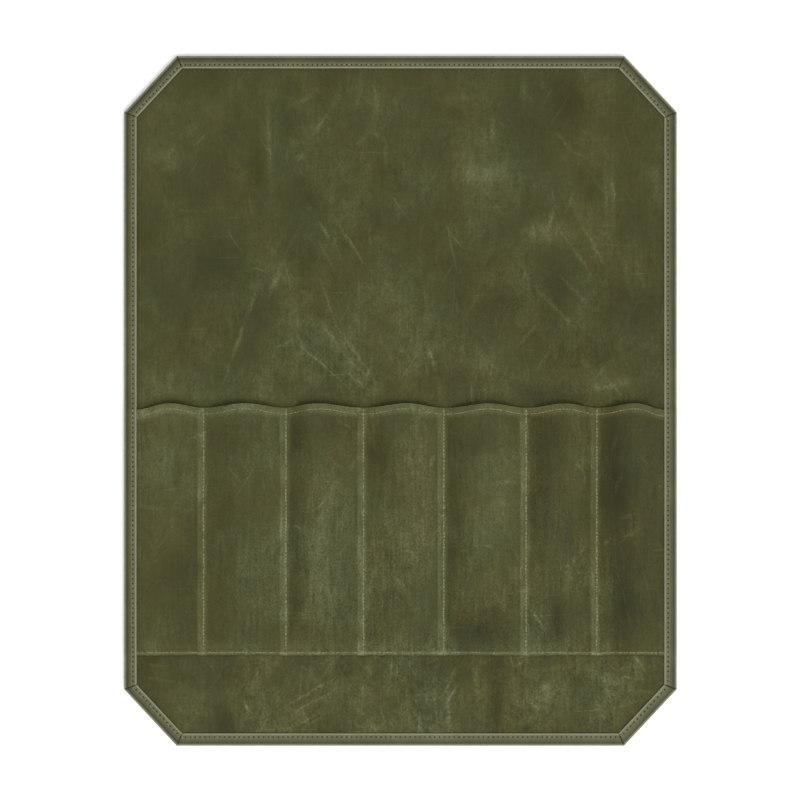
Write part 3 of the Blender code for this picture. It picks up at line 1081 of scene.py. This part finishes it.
def add_strokes(shader, place):
    """Faint thin strokes in a few directions, in loose groups. Gives their strength."""
    groups = shader.span(shader.noise(place, 22.0, 2.0), 0.46, 0.60)
    lines = []
    for turn, width in ((4.0, 2.3), (31.0, 2.0), (-38.0, 2.2), (-14.0, 2.7), (87.0, 2.0)):
        inputs = {"Vector": place, "Location": (turn, turn, 0.0)}
        inputs["Rotation"] = (0.0, 0.0, math.radians(turn))
        turned = shader.add("Mapping", inputs, vector_type="POINT")
        thin = shader.noise(shader.scaled(turned, 1.0, 0.06, 0.0), width, 1.5, 0.55, 0.5)
        lines.append(shader.span(thin, 0.63, 0.80))
    return shader.times(shader.strongest(lines), groups)


def leather_material(name, scratches=(), shift=0.0, fibre=0.8, cloudy=0.42, stroked=0.17):
    """Waxed pull-up leather: cloudy tones, upright streaks, fine grain, rubbed and dark places."""
    shader = Shader(name)
    tone = shader.painted("tone")
    place = shader.rest_place()
    moved = shader.moved(place, (shift, shift * 0.7, 0.0))
    clouds = shader.noise(shader.scaled(moved, 1.0, 0.7), 30.0, 4.0, 0.5, 0.3)
    blotches = shader.noise(shader.scaled(moved, 1.0, 0.8), 7.0, 5.0, 0.68, 0.6)
    streaks = shader.noise(shader.scaled(moved, 1.0, 0.09), 1.7, 3.0, 0.6)
    speckle = shader.noise(shader.scaled(moved, 1.0, 0.8), 0.95, 3.0, 0.7)
    hue = shader.noise(moved, 42.0, 3.0, 0.5)
    sideways = shader.add("SeparateXYZ", {0: place})
    upwards = sideways.node.outputs[1]
    calm = shader.times(
        shader.span(upwards, -190.0, 190.0, 1.45, 0.75), shader.span(sideways, -150.0, 0.0, 0.72, 1.0)
    )
    lively = shader.times(calm, shader.span(clouds, 0.38, 0.62, 0.6, 1.2))
    lively = shader.plus(lively, shader.times(tone, 0.5))
    value = shader.plus(0.5, shader.times(tone, 0.30))
    strokes = add_strokes(shader, moved)
    value = shader.plus(value, shader.centred(clouds, cloudy))
    for layer, weight in ((blotches, 1.2 * cloudy), (streaks, 0.26 * fibre), (speckle, 0.46)):
        value = shader.plus(value, shader.times(shader.centred(layer, weight), lively))
    strokes = shader.times(shader.math("SUBTRACT", strokes, 0.06), stroked)
    value = shader.plus(value, shader.times(strokes, calm))
    height = shader.plus(shader.times(blotches, 0.6), speckle)
    if scratches:
        broken = shader.span(speckle, 0.36, 0.62, 0.45, 1.2)
        lines = shader.times(add_scratches(shader, place, scratches), broken)
        value = shader.plus(value, shader.times(lines, 0.36))
        height = shader.math("SUBTRACT", height, shader.times(lines, 0.5))
    colour = shader.ramp(value, HIDE_STOPS)
    tint = shader.mix(shader.span(hue, 0.38, 0.62), BROWN_TINT, GREEN_TINT)
    colour = shader.mix(1.0, colour, tint, blend_type="MULTIPLY")
    roughness = shader.span(blotches, 0.3, 0.7, 0.56, 0.70)
    return shader.finish(colour, roughness, 0.13, height, 0.15 * MM, 0.4)


def binding_material():
    """The same hide on the binding, with a dark needle hole between each two stitches, painted as a
    spot of shade.
    """
    shader = Shader("binding_hide")
    stitch = shader.add("Attribute", output=1, attribute_name="stitch")
    place = shader.rest_place()
    speckle = shader.noise(place, 0.8, 3.0)
    value = shader.plus(0.48, shader.times(shader.painted("tone"), 0.36))
    for layer in (shader.noise(place, 12.0, 4.0), speckle):
        value = shader.plus(value, shader.centred(layer, 0.25))
    colour = shader.ramp(value, BINDING_STOPS)
    parts = shader.add("SeparateXYZ", {0: stitch})
    along = shader.math("DIVIDE", parts, BINDING_PITCH)
    offset = shader.centred(shader.math("FRACT", shader.plus(along, 0.5)), BINDING_PITCH / MM)
    across = shader.math("SUBTRACT", parts.node.outputs[1], STITCH_INSET)
    across = shader.math("DIVIDE", across, MM)
    squares = shader.plus(shader.times(offset, offset), shader.times(across, across))
    # Painted shade: each needle hole is a dark spot that stands in for its depth.
    hole = shader.span(shader.math("SQRT", squares), 0.32, 0.62, 1.0, 0.0)
    colour = shader.mix(shader.times(hole, 0.9), colour, lit(40, 34, 23))
    height = shader.math("SUBTRACT", speckle, shader.times(hole, 3.0))
    roughness = shader.span(speckle, 0.3, 0.7, 0.5, 0.62)
    return shader.finish(colour, roughness, 0.25, height, 0.12 * MM, 0.35)


def thread_material():
    """Twisted olive thread."""
    shader = Shader("olive_thread")
    place = shader.rest_place()
    inputs = {"Vector": place, "Scale": 0.9, "Distortion": 0.4}
    twist = shader.add("TexWave", inputs, output=1, bands_direction="DIAGONAL")
    fuzz = shader.noise(place, 0.4, 2.0)
    worn = shader.noise(place, 2.4, 2.0, 0.7)
    colour = shader.mix(twist, lit(110, 113, 78), lit(154, 157, 118))
    colour = shader.mix(shader.times(fuzz, 0.4), colour, lit(124, 126, 92))
    colour = shader.mix(shader.span(worn, 0.44, 0.60, 0.0, 0.75), colour, lit(88, 90, 59))
    return shader.finish(colour, 0.7, 0.2, twist, 0.1 * MM, 0.5)


MATERIALS = {
    "outer": leather_material("outer_hide", shift=400.0),
    "lining": leather_material("lining_hide", LINING_SCRATCHES),
    "pocket": leather_material(
        "pocket_hide", POCKET_SCRATCHES, shift=90.0, fibre=1.0, cloudy=0.30, stroked=0.10
    ),
    "binding": binding_material(),
    "thread": thread_material(),
}


# ---- stage, light and camera
FLOOR_SIZE = 8.0
FLOOR_DROP = 0.4 * MM
FLOOR_WHITE = (0.98, 0.98, 0.98, 1.0)


def make_floor():
    shader = Shader("pale_floor")
    shader.give(shader.surface.inputs["Base Color"], FLOOR_WHITE)
    shader.give(shader.surface.inputs["Roughness"], 0.9)
    bpy.ops.mesh.primitive_plane_add(size=FLOOR_SIZE, location=(0.0, 0.0, -FLOOR_DROP))
    floor = bpy.context.object
    floor.name = "floor"
    floor.data.materials.append(shader.material)


# Where the soft lamp hangs, its width and its power, and the strength of the white room.
LAMP_PLACE = Vector((0.5, -0.8, 1.9))
LAMP_SIZE = 1.1
LAMP_POWER = 24.5
ROOM_STRENGTH = 1.05


def make_lights():
    light = bpy.data.lights.new("key", "AREA")
    light.shape = "DISK"
    light.size = LAMP_SIZE
    light.energy = LAMP_POWER
    lamp = add_object("key", light)
    lamp.location = LAMP_PLACE
    lamp.rotation_euler = (-LAMP_PLACE).to_track_quat("-Z", "Y").to_euler()
    world = bpy.data.worlds.new("studio")
    bpy.context.scene.world = world
    world.use_nodes = True
    background = world.node_tree.nodes["Background"]
    background.inputs["Color"].default_value = (1.0, 1.0, 1.0, 1.0)
    background.inputs["Strength"].default_value = ROOM_STRENGTH


# The roll's width as a share of the picture's width.
ROLL_SHARE = 0.691125
VIEW_WIDTH = 2 * HALF_W / ROLL_SHARE
LENS = 180.0
SENSOR = 36.0
# How far the camera's axis lies from the roll's middle.
CAMERA_X = -0.24 * MM
CAMERA_Y = 0.48 * MM


def make_camera():
    """Straight down on the middle of the roll, far away behind a long lens."""
    camera = add_object("camera", bpy.data.cameras.new("camera"))
    camera.data.lens = LENS
    camera.data.sensor_width = SENSOR
    distance = VIEW_WIDTH * LENS / SENSOR
    camera.location = (CAMERA_X, CAMERA_Y, distance + FLAP_LIP)
    camera.data.clip_start = 0.05
    camera.data.clip_end = 20.0
    bpy.context.scene.camera = camera


def make_roll():
    layers = (
        ("outer", outer_top, outer_bottom, outer_tone, 3.0 * MM),
        ("lining", lining_top, lining_bottom, lining_tone, 2.5 * MM),
    )
    for kind, top, bottom, tone, step in layers:
        for make in (make_lower_leather, make_flap_leather):
            make(kind, MATERIALS[kind], kind + "_leather", top, bottom, tone, step)
    make_pocket_fronts(MATERIALS["pocket"])
    make_bindings()
    make_pocket_threads()


make_camera()
make_floor()
make_lights()
bpy.context.scene.view_settings.view_transform = "Standard"
make_roll()
